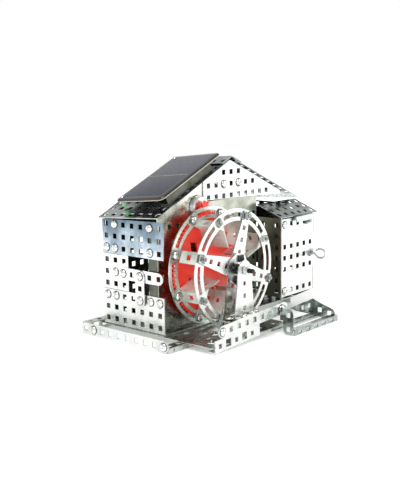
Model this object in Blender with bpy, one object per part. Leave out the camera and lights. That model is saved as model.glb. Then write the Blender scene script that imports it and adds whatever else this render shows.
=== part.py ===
"""Solar water mill: a construction-kit house of perforated steel plates, with a water wheel driven
by a small motor under a solar panel.

Lengths are in millimetres until MM turns them into metres. The house stands on a 10 mm hole grid:
X runs along the facade to the right, Y runs to the back, Z is up. X = 0 is the outer face of the left
wall, Y = 0 its front edge, and Z = 0 its lowest row of holes. An empty named mill carries everything
and puts the origin under the middle of the whole model.
"""

import math

import bmesh
import bpy
import numpy
from mathutils import Matrix, Vector
from mathutils.geometry import tessellate_polygon

MM = 0.001

# Driving dimensions of the kit
PITCH = 10.0
HOLE = 4.2
SHEET = 0.8
GAP = 0.3
LAYER = SHEET + GAP
EDGE = PITCH / 2
GROUND = -12.7

# House
WALL_DEPTH = 70.0
WALL_LOW = -5.0
WALL_TOP = 83.5
HOUSE_RIGHT = 180.3
FACADE_Y = 7.0
FACADE_SPLIT = 61.0
BACK_Y = WALL_DEPTH - SHEET

# Roof
RIDGE_X = 91.0
RIDGE_Z = 130.5
EAVE_Z = 88.7
RIGHT_EAVE_Z = 88.5
EAVE_X = -4.3
ROOF_FRONT = 1.5
ROOF_BACK = 70.0
ROOF_LEAN = math.radians(3.6)
ROOF_RUN = RIDGE_X - EAVE_X
ROOF_TILT = math.atan2(RIDGE_Z - EAVE_Z, ROOF_RUN)
RIGHT_TILT = math.atan2(RIDGE_Z - RIGHT_EAVE_Z, ROOF_RUN)
ROOF_PLATE = 100.0

# Right wing with its lean-to porch
WING_LEFT = 129.2
WING_Y = -20.0
WING_LOW = 5.0
WING_TOP = 75.0
PORCH_FRONT = (-22.0, 76.5)
PORCH_BACK = (4.0, 87.0)

# Water wheel: its axle runs along Y
WHEEL_X = 51.0
WHEEL_Z = 45.0
RIM_OUTER = 49.0
RIM_INNER = 39.0
RIM_BOLTS = 44.0
RIM_SEGMENTS = 48
PADDLES = 8
FIRST_PADDLE = math.radians(26.5)
PADDLE_LEAN = math.radians(-6.0)
FRONT_RIM_Y = -30.8
REAR_RIM_Y = -3.8
AXLE_R = 1.9
AXLE_BORE = 2.15

# Gear pair
MODULE = 1.2
GEAR_TEETH = 72
PINION_TEETH = 8
GEAR_Y = -2.7
GEAR_THICK = 1.4
GEAR_R = MODULE * GEAR_TEETH / 2
PINION_R = MODULE * PINION_TEETH / 2
MESH_ANGLE = math.radians(93.0)
MOTOR_X = WHEEL_X + (GEAR_R + PINION_R) * math.cos(MESH_ANGLE)
MOTOR_Z = WHEEL_Z + (GEAR_R + PINION_R) * math.sin(MESH_ANGLE)
MOTOR_R = 9.5
MOTOR_Y = 2.0
MOTOR_LONG = 14.0

# Front deck, tray and step
DECK_Z = -7.9
BEAM_Y = -50.8
BEAM_TILT = math.radians(2.8)
PEDESTAL_Y = -40.8
SHELF_Z = 7.0
TRAY_X = -18.0
TRAY_FRONT = -20.5
TRAY_BACK = 79.5
BASE_TAB = 40.0
STEP_Y = -66.0
STEP_LEFT = 84.0
STEP_RIGHT = 151.0
STEP_BACK_Y = -42.0

# Solar panel
PANEL_LONG = 80.0
PANEL_WIDE = 56.0
PANEL_THICK = 3.0
PANEL_CORNER = (1.4, 1.5, 102.4)
PANEL_SLOPE = math.radians(23.8)
PANEL_TILT = math.radians(6.0)


def clear_scene():
    for obj in list(bpy.data.objects):
        bpy.data.objects.remove(obj, do_unlink=True)


def material(name, colour, roughness, metallic):
    made = bpy.data.materials.new(name)
    made.use_nodes = True
    shader = made.node_tree.nodes["Principled BSDF"]
    shader.inputs["Base Color"].default_value = (*colour, 1.0)
    shader.inputs["Roughness"].default_value = roughness
    shader.inputs["Metallic"].default_value = metallic
    return made


# Outlines: closed lists of (u, v) points, counter-clockwise


def rectangle(u0, v0, u1, v1):
    return [(u0, v0), (u1, v0), (u1, v1), (u0, v1)]


def square(u, v, side=HOLE):
    half = side / 2
    return rectangle(u - half, v - half, u + half, v + half)


def arc(u, v, radius, start, end, steps):
    """Points on an arc, both ends included; angles in radians."""
    turn = (end - start) / steps
    return [
        (u + radius * math.cos(start + turn * i), v + radius * math.sin(start + turn * i))
        for i in range(steps + 1)
    ]


def circle(u, v, radius, steps):
    return arc(u, v, radius, 0.0, 2 * math.pi, steps)[:-1]


def strip_outline(length, width=PITCH, steps=6):
    """A flat bar with round ends, its first hole at (0, 0) and its bar along u."""
    half = width / 2
    right = arc(length - width, 0, half, -math.pi / 2, math.pi / 2, steps)
    left = arc(0, 0, half, math.pi / 2, 3 * math.pi / 2, steps)
    return right + left


def rounded(u0, v0, u1, v1, radius, steps=3):
    corners = (
        (u1 - radius, v0 + radius, -math.pi / 2),
        (u1 - radius, v1 - radius, 0.0),
        (u0 + radius, v1 - radius, math.pi / 2),
        (u0 + radius, v0 + radius, math.pi),
    )
    points = []
    for u, v, start in corners:
        points += arc(u, v, radius, start, start + math.pi / 2, steps)
    return points


def grid(us, vs, side=HOLE):
    return [square(u, v, side) for u in us for v in vs]


def border(us, vs, side=HOLE):
    """Holes only where the grid's first and last row and column are."""
    edges_u = (us[0], us[-1])
    edges_v = (vs[0], vs[-1])
    return [square(u, v, side) for u in us for v in vs if u in edges_u or v in edges_v]


def steps_of(first, count, pitch=PITCH):
    return [first + pitch * i for i in range(count)]


# Placing


def frame(origin, u_axis, v_axis):
    """Matrix whose local X, Y, Z are u, v and their cross product, in metres at origin."""
    u_axis = Vector(u_axis).normalized()
    v_axis = Vector(v_axis).normalized()
    turn = Matrix((u_axis, v_axis, u_axis.cross(v_axis))).transposed().to_4x4()
    return Matrix.Translation(Vector(origin) * MM) @ turn


def across_x(x, y=0.0, z=0.0):
    """Sheets facing X: u runs along Y, v along Z, thickness along +X."""
    return frame((x, y, z), (0, 1, 0), (0, 0, 1))


def across_y(y, x=0.0, z=0.0):
    """Sheets facing Y: u runs along X, v along Z, thickness along -Y."""
    return frame((x, y, z), (1, 0, 0), (0, 0, 1))


def across_z(z, x=0.0, y=0.0):
    """Flat-lying sheets: u runs along X, v along Y, thickness upwards."""
    return frame((x, y, z), (1, 0, 0), (0, 1, 0))


def add_object(name, mesh, place, finish):
    obj = bpy.data.objects.new(name, mesh)
    mesh.materials.append(finish)
    bpy.context.scene.collection.objects.link(obj)
    obj.parent = MILL
    obj.matrix_local = place
    return obj


def mesh_from(bm, name):
    bmesh.ops.recalc_face_normals(bm, faces=bm.faces)
    bmesh.ops.scale(bm, vec=(MM, MM, MM), verts=bm.verts)
    mesh = bpy.data.meshes.new(name)
    bm.to_mesh(mesh)
    bm.free()
    return mesh


def plate(name, place, outline, holes=(), finish=None, thick=SHEET, smooth=False):
    """A flat sheet: the outline less its holes, thickened along the frame's third axis."""
    loops = [outline, *holes]
    flat = [Vector((u, v, 0.0)) for loop in loops for u, v in loop]
    bm = bmesh.new()
    low = [bm.verts.new(point) for point in flat]
    high = [bm.verts.new(point + Vector((0, 0, thick))) for point in flat]
    for a, b, c in tessellate_polygon([[Vector((u, v, 0)) for u, v in loop] for loop in loops]):
        bm.faces.new((low[a], low[b], low[c]))
        bm.faces.new((high[c], high[b], high[a]))
    first = 0
    for loop in loops:
        count = len(loop)
        for i in range(count):
            a = first + i
            b = first + (i + 1) % count
            bm.faces.new((low[a], low[b], high[b], high[a]))
        first += count
    mesh = mesh_from(bm, name)
    if smooth:
        mesh.shade_smooth()
        mesh.set_sharp_from_angle(angle=math.radians(30))
    return add_object(name, mesh, place, finish or STEEL)


def folded(name, place, flanges, toward, finish=None, thick=SHEET):
    """A bent sheet. Each flange is (origin, u axis, v axis, outline, holes) in the piece's own frame.

    Flanges that share an edge share its two end points. The first flange thickens towards the
    given direction, and the others follow round the bend.
    """
    bm = bmesh.new()
    for origin, u_axis, v_axis, outline, holes in flanges:
        origin = Vector(origin)
        u_axis = Vector(u_axis)
        v_axis = Vector(v_axis)
        loops = [outline, *holes]
        verts = [
            bm.verts.new(origin + u_axis * u + v_axis * v) for loop in loops for u, v in loop
        ]
        for tri in tessellate_polygon([[Vector((u, v, 0)) for u, v in loop] for loop in loops]):
            bm.faces.new([verts[i] for i in tri])
    bmesh.ops.remove_doubles(bm, verts=bm.verts, dist=0.001)
    bmesh.ops.recalc_face_normals(bm, faces=bm.faces)
    bm.faces.ensure_lookup_table()
    if bm.faces[0].normal.dot(Vector(toward)) > 0:
        bmesh.ops.reverse_faces(bm, faces=bm.faces)
    thicken(bm, thick)
    return add_object(name, mesh_from(bm, name), place, finish or STEEL)


def thicken(bm, thick):
    """Adds the sheet's inner skin, thick below every face, and the walls round its free edges."""
    skin = list(bm.faces)
    free = [edge for edge in bm.edges if len(edge.link_faces) == 1]
    inner = {}
    for vert in list(bm.verts):
        planes = []
        for face in vert.link_faces:
            if all(face.normal.dot(other) < 0.999 for other in planes):
                planes.append(face.normal.copy())
        shift = numpy.linalg.lstsq(numpy.array(planes), numpy.full(len(planes), -thick), rcond=None)[0]
        inner[vert] = bm.verts.new(vert.co + Vector(shift))
    for edge in free:
        loop = edge.link_loops[0]
        a, b = loop.vert, loop.link_loop_next.vert
        bm.faces.new((b, a, inner[a], inner[b]))
    for face in skin:
        bm.faces.new([inner[vert] for vert in reversed(face.verts)])


def turned(name, place, profile, segments, finish, bore=None):
    """A round piece about the frame's third axis; profile is (radius, height) from bottom to top."""
    bm = bmesh.new()
    rings = []
    for radius, height in profile:
        ring = [
            bm.verts.new((radius * math.cos(a), radius * math.sin(a), height))
            for a in (2 * math.pi * i / segments for i in range(segments))
        ]
        rings.append(ring)
    if bore:
        low, high = profile[0][1], profile[-1][1]
        for height in (high, low):
            rings.append(
                [
                    bm.verts.new((bore * math.cos(a), bore * math.sin(a), height))
                    for a in (2 * math.pi * i / segments for i in range(segments))
                ]
            )
        rings.append(rings[0])
    else:
        bm.faces.new(list(reversed(rings[0])))
        bm.faces.new(rings[-1])
    for lower, upper in zip(rings, rings[1:]):
        for i in range(segments):
            j = (i + 1) % segments
            bm.faces.new((lower[i], lower[j], upper[j], upper[i]))
    mesh = mesh_from(bm, name)
    mesh.shade_smooth()
    mesh.set_sharp_from_angle(angle=math.radians(35))
    return add_object(name, mesh, place, finish)


def along_y(y, x, z):
    """Round pieces on an axis along Y: the frame's third axis points to the back."""
    return frame((x, y, z), (1, 0, 0), (0, 0, -1))


# The house


def roof_z(x, y):
    """Height of the roof's underside over a place; the whole roof leans down towards the back."""
    tilt = ROOF_TILT if x < RIDGE_X else RIGHT_TILT
    return RIDGE_Z - abs(x - RIDGE_X) * math.tan(tilt) - (y - ROOF_FRONT) * math.tan(ROOF_LEAN)


def left_wall():
    columns = steps_of(EDGE, 7)
    upper_low = 55.0 + GAP / 2
    plate(
        "left_wall_upper_plate",
        across_x(0.0),
        [(0, upper_low), (WALL_DEPTH, upper_low), (WALL_DEPTH, WALL_TOP), (0, WALL_TOP + 2)],
        grid(columns, (60, 70, 80)),
        finish=DARK_STEEL,
    )
    plate(
        "left_wall_middle_plate",
        across_x(0.0),
        rectangle(40, 25 + GAP / 2, WALL_DEPTH, 55 - GAP / 2),
        grid((45, 55, 65), (30, 40, 50)),
    )
    plate(
        "left_wall_lower_plate",
        across_x(0.0),
        rectangle(0, WALL_LOW, WALL_DEPTH, 25 - GAP / 2),
        grid(columns, (0, 10, 20)),
    )
    plate(
        "window_bar",
        across_x(-LAYER, EDGE, 40),
        strip_outline(50),
        grid(steps_of(0, 5), (0,)),
    )
    post = frame((-2 * LAYER, 25, 20), (0, 0, 1), (0, -1, 0))
    plate("window_post", post, strip_outline(30), grid(steps_of(0, 3), (0,)))


def facade():
    low, clear = WALL_LOW, 1.2
    left, split = SHEET + GAP, FACADE_SPLIT - GAP / 2
    outline = [
        (left, low),
        (split, low),
        (split, roof_z(split, FACADE_Y + SHEET) - clear),
        (left, roof_z(left, FACADE_Y + SHEET) - clear),
    ]
    holes = border(steps_of(EDGE, 6), steps_of(0, 9))
    holes += [circle(WHEEL_X, WHEEL_Z, 2.6, 8), circle(MOTOR_X, MOTOR_Z, MOTOR_R + 0.6, 16)]
    keep_clear = MOTOR_R + 5
    holes = [
        loop
        for loop in holes
        if len(loop) > 4 or math.dist(loop[0], (MOTOR_X, MOTOR_Z)) > keep_clear
    ]
    plate("facade_left_plate", across_y(FACADE_Y + SHEET), outline, holes)
    plate(
        "facade_right_plate",
        across_y(FACADE_Y + SHEET),
        rectangle(FACADE_SPLIT + GAP / 2, low, WING_LEFT - GAP, 96),
        border(steps_of(65, 7), steps_of(0, 9)),
    )


def gable_outline(left, right, low, y):
    clear = 1.2
    return [
        (left, low),
        (right, low),
        (right, roof_z(right, y) - clear),
        (RIDGE_X, roof_z(RIDGE_X, y) - clear),
        (left, roof_z(left, y) - clear),
    ]


def gables():
    low = 94.0
    holes = grid(steps_of(62, 9), (low + EDGE,)) + grid(steps_of(62, 7), (low + 15,))
    holes += grid(steps_of(82, 3), (low + 25,))
    cleared = [(MOTOR_X + 10.5, low), (MOTOR_X + 9.5, low + 4)]
    outline = gable_outline(55.6, 163, low, FACADE_Y)
    plate(
        "gable_front_plate",
        across_y(FACADE_Y - GAP),
        [*cleared, *outline[1:], (55.6, low + 7.5)],
        holes,
    )
    plate(
        "gable_back_plate",
        across_y(BACK_Y - GAP),
        gable_outline(3, 178, 76, BACK_Y),
        grid(steps_of(20, 8, 20), (80,)) + grid(steps_of(60, 4, 20), (105,)),
    )


def back_and_right_walls():
    edge_holes = border(steps_of(EDGE, 9, 2 * PITCH), steps_of(0, 5, 2 * PITCH))
    plate(
        "back_wall_plate",
        across_y(BACK_Y + SHEET),
        rectangle(SHEET + GAP, WALL_LOW, HOUSE_RIGHT - GAP, WALL_TOP),
        edge_holes + grid(steps_of(25, 10), steps_of(10, 6)),
    )
    outline = [
        (WING_Y, WING_LOW),
        (0, WALL_LOW),
        (WALL_DEPTH, WALL_LOW),
        (WALL_DEPTH, WALL_TOP),
        (0, WALL_TOP),
        (WING_Y, WING_TOP),
    ]
    holes = grid(steps_of(EDGE, 7), (0, 20, 60, 80)) + grid((-15,), steps_of(10, 7))
    plate("right_wall_plate", across_x(HOUSE_RIGHT), outline, holes)


def corner_angles():
    """Vertical L bars that tie the walls together: two legs of one pitch."""
    leg = PITCH - 0.5

    def corner(name, x, y, into_x, into_y, low, high, pitch=2 * PITCH):
        rows = [z for z in steps_of(low + EDGE, 9, pitch) if z <= high - EDGE]
        holes = grid((leg / 2 + 0.5,), rows)
        upright = rectangle(0, low, leg, high)
        flanges = [
            ((0, 0, 0), (into_x, 0, 0), (0, 0, 1), upright, holes),
            ((0, 0, 0), (0, into_y, 0), (0, 0, 1), upright, holes),
        ]
        place = Matrix.Translation(Vector((x, y, 0)) * MM)
        return folded(name, place, flanges, toward=(0, into_y, 0))

    corner("corner_angle_front_left", LAYER, FACADE_Y + LAYER, 1, 1, WALL_LOW, WALL_TOP)
    corner("corner_angle_back_left", LAYER, BACK_Y - GAP, 1, -1, WALL_LOW, 75)
    corner("corner_angle_back_right", HOUSE_RIGHT - GAP, BACK_Y - GAP, -1, -1, WALL_LOW, 75)
    corner("corner_angle_wing", HOUSE_RIGHT - GAP, WING_Y + LAYER, -1, 1, WING_LOW, WING_TOP, PITCH)


def roof_lean():
    """Turn of the whole roof about its front left eave."""
    hinge = Matrix.Translation(Vector((0, ROOF_FRONT, EAVE_Z)) * MM)
    return hinge @ Matrix.Rotation(-ROOF_LEAN, 4, "X") @ hinge.inverted()


def roof():
    rows = steps_of(EDGE, 7)
    lean = roof_lean()
    columns = steps_of(EDGE, 10)
    left_slope = Vector((math.cos(ROOF_TILT), 0, math.sin(ROOF_TILT)))
    right_slope = Vector((-math.cos(RIGHT_TILT), 0, math.sin(RIGHT_TILT)))
    plate(
        "roof_left_plate",
        lean @ frame((EAVE_X, 0, EAVE_Z), left_slope, (0, 1, 0)),
        rectangle(0, ROOF_FRONT, ROOF_PLATE, ROOF_BACK),
        border(columns, rows) + grid((15, 25), rows[1:-1]),
    )
    plate(
        "roof_right_plate",
        lean @ frame((2 * RIDGE_X - EAVE_X, 0, RIGHT_EAVE_Z), right_slope, (0, -1, 0)),
        rectangle(0, -ROOF_BACK, ROOF_PLATE, -ROOF_FRONT),
        border(columns, [-row for row in reversed(rows)]),
    )
    lift = LAYER + SHEET + 0.1
    leg = 14.0
    cap = rectangle(0, 0, leg, ROOF_BACK - ROOF_FRONT)
    cap_holes = grid((leg - 4.6,), steps_of(EDGE - ROOF_FRONT, 7))
    folded(
        "ridge_cap",
        lean @ frame((RIDGE_X, ROOF_FRONT, RIDGE_Z + lift / left_slope.x), (1, 0, 0), (0, 1, 0)),
        [
            ((0, 0, 0), -left_slope, (0, 1, 0), cap, cap_holes),
            ((0, 0, 0), -right_slope, (0, 1, 0), cap, cap_holes),
        ],
        toward=(0, 0, -1),
    )


def wing():
    columns = steps_of(WING_LEFT + 5.8, 5)
    front_left = WING_LEFT + LAYER
    plate(
        "wing_front_plate",
        across_y(WING_Y + SHEET),
        rectangle(front_left, WING_LOW, HOUSE_RIGHT - GAP, WING_TOP),
        grid(columns, (10, 30, 40, 50, 70)),
    )
    plate(
        "wing_side_plate",
        across_x(WING_LEFT),
        rectangle(WING_Y, WING_LOW, FACADE_Y - LAYER - GAP, WING_TOP + 1),
        grid((WING_Y + EDGE,), steps_of(10, 7)) + grid((0,), (10, 40, 70)),
    )
    run = PORCH_BACK[0] - PORCH_FRONT[0]
    rise = PORCH_BACK[1] - PORCH_FRONT[1]
    depth = math.hypot(run, rise)
    porch = frame((126, *PORCH_FRONT), (1, 0, 0), (0, run, rise))
    plate(
        "porch_roof_plate",
        porch,
        rectangle(0, 0, 58, depth),
        grid(steps_of(4, 6), (5, 14, 23)),
    )
    length = 28.0
    lip = rectangle(0, 0, length, 4.0)
    shelf = rectangle(0, 0, length, 9.0)
    folded(
        "porch_bracket",
        Matrix.Translation(Vector((148, PORCH_FRONT[0] - 1, WING_TOP + GAP)) * MM),
        [
            ((0, 0, 0), (1, 0, 0), (0, 1, 0), shelf, grid((4, 14, 24), (5,))),
            ((0, 0, -4), (1, 0, 0), (0, 0, 1), lip, ()),
        ],
        toward=(0, 0, 1),
    )


def base():
    floor_z = WALL_LOW - LAYER
    outline = [
        (-1, 1),
        (HOUSE_RIGHT, 1),
        (HOUSE_RIGHT, WALL_DEPTH),
        (BASE_TAB, WALL_DEPTH),
        (BASE_TAB, TRAY_BACK - LAYER),
        (-1, TRAY_BACK - LAYER),
    ]
    holes = grid(steps_of(15, 9, 20), (15, 55))
    plate("base_plate", across_z(floor_z), outline, holes)
    rail_z = floor_z - GAP
    long = 60.0
    foot = rectangle(0, GROUND - rail_z, long, 0)
    top = rectangle(0, 0, long, PITCH - 1)
    folded(
        "base_right_rail",
        Matrix.Translation(Vector((HOUSE_RIGHT, 5, rail_z)) * MM),
        [
            ((0, 0, 0), (0, 1, 0), (0, 0, 1), foot, ()),
            ((0, 0, 0), (0, 1, 0), (-1, 0, 0), top, grid((10, 50), (EDGE,))),
        ],
        toward=(-1, 0, 0),
    )


# Tray on the left of the house


def tray():
    length = TRAY_BACK - TRAY_FRONT
    plate(
        "tray_side_strip",
        across_x(TRAY_X, TRAY_FRONT + EDGE, GROUND + EDGE),
        strip_outline(length),
        grid(steps_of(0, 10), (0,)),
    )

    def cross_angle(name, y, inward, right, high):
        """Upright leg facing Y with a flat leg folded inwards along its top edge."""
        start = TRAY_X + LAYER
        span = right - start
        columns = steps_of(EDGE, int(span // PITCH))
        upright = rectangle(0, 0, span, high)
        flat = rectangle(0, 0, span, PITCH - 1)
        legs = [
            ((0, 0, 0), (1, 0, 0), (0, 0, 1), upright, grid(columns, (high / 2,), 0.6 * high)),
            ((0, 0, high), (1, 0, 0), (0, inward, 0), flat, grid(columns, (EDGE,))),
        ]
        place = Matrix.Translation(Vector((start, y, GROUND)) * MM)
        folded(name, place, legs, toward=(0, inward, 0))

    cross_angle("tray_front_angle", TRAY_FRONT, 1, 18, DECK_Z - GAP - GROUND)
    cross_angle("tray_back_angle", TRAY_BACK, -1, 32, PITCH)


# Front deck, its beam and the wheel's bearing


def deck():
    slots = []
    for j in range(4):
        for i in range(5 - j % 2):
            u = 10 + 20 * i + 10 * (j % 2)
            slots.append(rounded(u - 3.5, 7 + 12 * j, u + 3.5, 10 + 12 * j, 1.4, 1))
    plate("deck_plate", across_z(DECK_Z, 1, -48.5), rectangle(0, 0, 100, 57), slots)
    tilt = Matrix.Rotation(-BEAM_TILT, 4, "Y")
    strip_place = Matrix.Translation(Vector((11.2, BEAM_Y + SHEET, 4.0)) * MM) @ tilt
    plate(
        "front_beam_strip",
        strip_place @ frame((0, 0, 0), (1, 0, 0), (0, 0, 1)),
        strip_outline(90),
        grid(steps_of(0, 9), (0,)),
    )
    long = 56.0
    upright = [(0, 0), (long, 0), (long, 10), (0, 10)]
    windows = grid((6, 26, 46), (4.6,), 3.6) + grid((16, 36), (5,), 6.0)
    angle_place = Matrix.Translation(Vector((3.5, BEAM_Y + LAYER, GROUND + 0.9)) * MM) @ tilt
    folded(
        "front_beam_angle",
        angle_place,
        [
            ((0, 0, 0), (1, 0, 0), (0, 0, 1), upright, windows),
            ((0, 0, 0), (1, 0, 0), (0, 1, 0), rectangle(0, 0, long, 8), ()),
        ],
        toward=(0, 1, 0),
    )
    wide = 44.0
    front = rectangle(0, -6, wide, 0)
    top = rectangle(0, 0, wide, 15.2)
    folded(
        "bearing_shelf",
        Matrix.Translation(Vector((29, BEAM_Y + LAYER, SHELF_Z)) * MM),
        [
            ((0, 0, 0), (1, 0, 0), (0, 0, 1), front, ()),
            ((0, 0, 0), (1, 0, 0), (0, 1, 0), top, grid((6, 38), (6,))),
        ],
        toward=(0, 1, 0),
    )
    low = SHELF_Z + GAP + SHEET
    shaft_up = WHEEL_Z - low
    crown = arc(0, shaft_up, 8.0, 0.0, math.pi, 8)
    tower = [(-12.8, 0), (12.8, 0), *crown]
    windows = grid((0,), (6, 16, 26), 3.4) + [circle(0, shaft_up, AXLE_BORE + 0.35, 12)]
    foot = [(-12.8, 0), (12.8, 0), (10.5, 7.8), (-10.5, 7.8)]
    folded(
        "bearing_pedestal",
        Matrix.Translation(Vector((WHEEL_X, PEDESTAL_Y, low)) * MM),
        [
            ((0, 0, 0), (1, 0, 0), (0, 0, 1), tower, windows),
            ((0, 0, 0), (1, 0, 0), (0, -1, 0), foot, grid((-6, 6), (4.6,))),
        ],
        toward=(0, 1, 0),
    )


# Water wheel


def wheel_place(y):
    """Frame of a wheel plate: its centre on the axle, thickness along +Y from y."""
    return frame((WHEEL_X, y, WHEEL_Z), (0, 0, 1), (1, 0, 0))


def polar(radius, angle, across=0.0):
    """Point of a wheel plate, at an angle from +X towards +Z, moved sideways by across."""
    x = radius * math.cos(angle) - across * math.sin(angle)
    z = radius * math.sin(angle) + across * math.cos(angle)
    return (z, x)


def rim_loops():
    turns = [2 * math.pi * i / RIM_SEGMENTS for i in range(RIM_SEGMENTS)]
    outline = [polar(RIM_OUTER, angle) for angle in turns]
    loops = [[polar(RIM_INNER, angle) for angle in turns]]
    half = math.radians(14.5)
    for k in range(PADDLES):
        bolt = FIRST_PADDLE + 2 * math.pi * k / PADDLES
        loops.append([polar(RIM_BOLTS + du, bolt, dv) for du, dv in square(0, 0, 3.9)])
        middle = bolt + math.pi / PADDLES
        outer = [polar(46.0, middle - half + half * i / 2) for i in range(5)]
        inner = [polar(42.2, middle + half - half * i / 2) for i in range(5)]
        loops.append(outer + inner)
    return outline, loops


def gear_outline(teeth, module, turn, share):
    """Straight-sided teeth; share is the tooth's width over the pitch at its root."""
    pitch_r = module * teeth / 2
    tip = pitch_r + 0.8 * module
    root = pitch_r - 1.05 * module
    step = 2 * math.pi / teeth
    points = []
    for i in range(teeth):
        middle = turn + step * i
        for radius, offset in ((root, -share), (tip, -share * 0.45), (tip, share * 0.45), (root, share)):
            points.append(polar(radius, middle + offset * step / 2))
    return points


def wheel():
    outline, loops = rim_loops()
    plate("wheel_front_rim", wheel_place(FRONT_RIM_Y), outline, loops)
    plate("wheel_rear_rim", wheel_place(REAR_RIM_Y), outline, loops)
    step = 2 * math.pi / GEAR_TEETH
    gear_turn = MESH_ANGLE - step / 2
    windows = []
    for k in range(5):
        angle = math.radians(136 + 72 * k)
        windows.append([polar(31, angle), polar(25, angle, 4.5), polar(18, angle), polar(25, angle, -4.5)])
    bore = [polar(AXLE_BORE, 2 * math.pi * i / 12) for i in range(12)]
    plate(
        "wheel_gear",
        wheel_place(GEAR_Y),
        gear_outline(GEAR_TEETH, MODULE, gear_turn, 0.74),
        [*windows, bore],
        finish=RED,
        thick=GEAR_THICK,
    )
    cross_y = FRONT_RIM_Y - LAYER
    for name, turn, y in (
        ("wheel_cross_strip_a", FIRST_PADDLE + math.pi / 4, cross_y),
        ("wheel_cross_strip_b", FIRST_PADDLE + 3 * math.pi / 4, cross_y - LAYER),
    ):
        shape = [(-47.5, -3.4), (-12, -7.5), (12, -7.5), (47.5, -3.4)]
        shape += [(-u, -v) for u, v in shape]
        holes = [square(u, 0, 3.6) for u in (-44, -34, -24, -14, 14, 24, 34, 44)]
        holes = [[polar(u, turn, v) for u, v in loop] for loop in holes]
        plate(
            name,
            wheel_place(y),
            [polar(u, turn, v) for u, v in shape],
            [*holes, bore],
        )
    hub_y = cross_y - 2 * LAYER
    hub = [polar(13.5, FIRST_PADDLE + math.pi / 8 + math.pi / 4 * i) for i in range(8)]
    hub_holes = [
        [polar(9 + du, FIRST_PADDLE + math.pi / 4 + math.pi / 2 * i, dv) for du, dv in square(0, 0, 3.4)]
        for i in range(4)
    ]
    plate("wheel_hub_plate", wheel_place(hub_y), hub, [*hub_holes, bore])
    front = hub_y - GAP
    turned(
        "wheel_collar",
        along_y(front - 4.5, WHEEL_X, WHEEL_Z),
        [(3.9, 0), (4.3, 0.5), (4.3, 4.0), (3.9, 4.5)],
        16,
        BLACK_STEEL,
        bore=AXLE_BORE,
    )
    turned(
        "wheel_axle",
        along_y(-50.0, WHEEL_X, WHEEL_Z),
        [(AXLE_R - 0.4, 0), (AXLE_R, 0.5), (AXLE_R, 65.5), (AXLE_R - 0.4, 66.0)],
        14,
        BLACK_STEEL,
    )
    turned(
        "axle_end_collar",
        along_y(PEDESTAL_Y - GAP - 4.0, WHEEL_X, WHEEL_Z),
        [(3.2, 0), (3.7, 0.5), (3.7, 3.5), (3.2, 4.0)],
        16,
        STEEL,
        bore=AXLE_BORE,
    )
    for k in range(PADDLES):
        paddle(k)


def paddle(k):
    """A bent blade between the rims: radial face, outer lip between the bolts, and two bolt tabs."""
    angle = FIRST_PADDLE + 2 * math.pi * k / PADDLES
    front = FRONT_RIM_Y + LAYER
    back = REAR_RIM_Y - GAP
    wide = back - front
    inner, outer = 19.5, 42.5
    tab_low, tab_high = 33.5, 41.0
    side = 5.0
    leaning = angle + PADDLE_LEAN
    radial = Vector((math.cos(leaning), 0, math.sin(leaning)))
    tangent = Vector((-math.sin(leaning), 0, math.cos(leaning)))
    along = Vector((0, 1, 0))
    centre = Vector((WHEEL_X, front, WHEEL_Z))
    pivot = centre + (Vector((math.cos(angle), 0, math.sin(angle))) - radial) * RIM_BOLTS
    start = tangent * -side
    clear = 4.5
    shoulder = [(tab_high, 0), (outer, clear), (outer, wide - clear), (tab_high, wide)]
    lip = rectangle(0, clear, PITCH, wide - clear)
    bolt = square(RIM_BOLTS - 0.5, side - 0.2, 3.4)
    face_holes = grid((28,), (wide / 2 - EDGE, wide / 2 + EDGE), 3.4)
    tab = [(tab_low, 0), (tab_high, 0), (47.2, 2.2), (47.2, 7.6), (40.4, 7.6)]
    folded(
        f"wheel_paddle_{k + 1}",
        Matrix.Translation(pivot * MM),
        [
            (start, radial, along, rectangle(inner, 0, tab_low, wide), face_holes),
            (start, radial, along, rectangle(tab_low, 0, tab_high, wide), ()),
            (start, radial, along, shoulder, ()),
            (start + radial * outer, tangent, along, lip, [square(EDGE, wide / 2)]),
            (start, radial, tangent, tab, [bolt]),
            (start + along * wide, radial, tangent, tab, [bolt]),
        ],
        toward=tangent,
    )


# Motor that drives the gear


def motor():
    turned(
        "motor_can",
        along_y(MOTOR_Y, MOTOR_X, MOTOR_Z),
        [(MOTOR_R - 1.2, 0), (MOTOR_R, 1.0), (MOTOR_R, MOTOR_LONG - 1.0), (MOTOR_R - 1.2, MOTOR_LONG)],
        24,
        STEEL,
        bore=1.6,
    )
    band = 1.2
    inner = MOTOR_R + 0.3
    outer = inner + SHEET
    hug = arc(0, 0, outer, math.radians(-50), math.radians(230), 14)
    hug_inner = arc(0, 0, inner, math.radians(-50), math.radians(230), 14)
    reach = 17.5
    ear_low = math.sin(math.radians(-50)) * outer
    right_ear = [(reach, ear_low - band), (reach, ear_low)]
    left_ear = [(-reach, ear_low), (-reach, ear_low - band)]
    inner_low = (math.cos(math.radians(-50)) * inner - 0.4, ear_low - band)
    outline = [
        *right_ear,
        *hug,
        *left_ear,
        (-inner_low[0], inner_low[1]),
        *reversed(hug_inner),
        inner_low,
    ]
    place = frame((MOTOR_X, FACADE_Y + LAYER + 6, MOTOR_Z), (1, 0, 0), (0, 0, 1))
    plate("motor_clamp", place, outline, thick=5.0, smooth=True)


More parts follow.
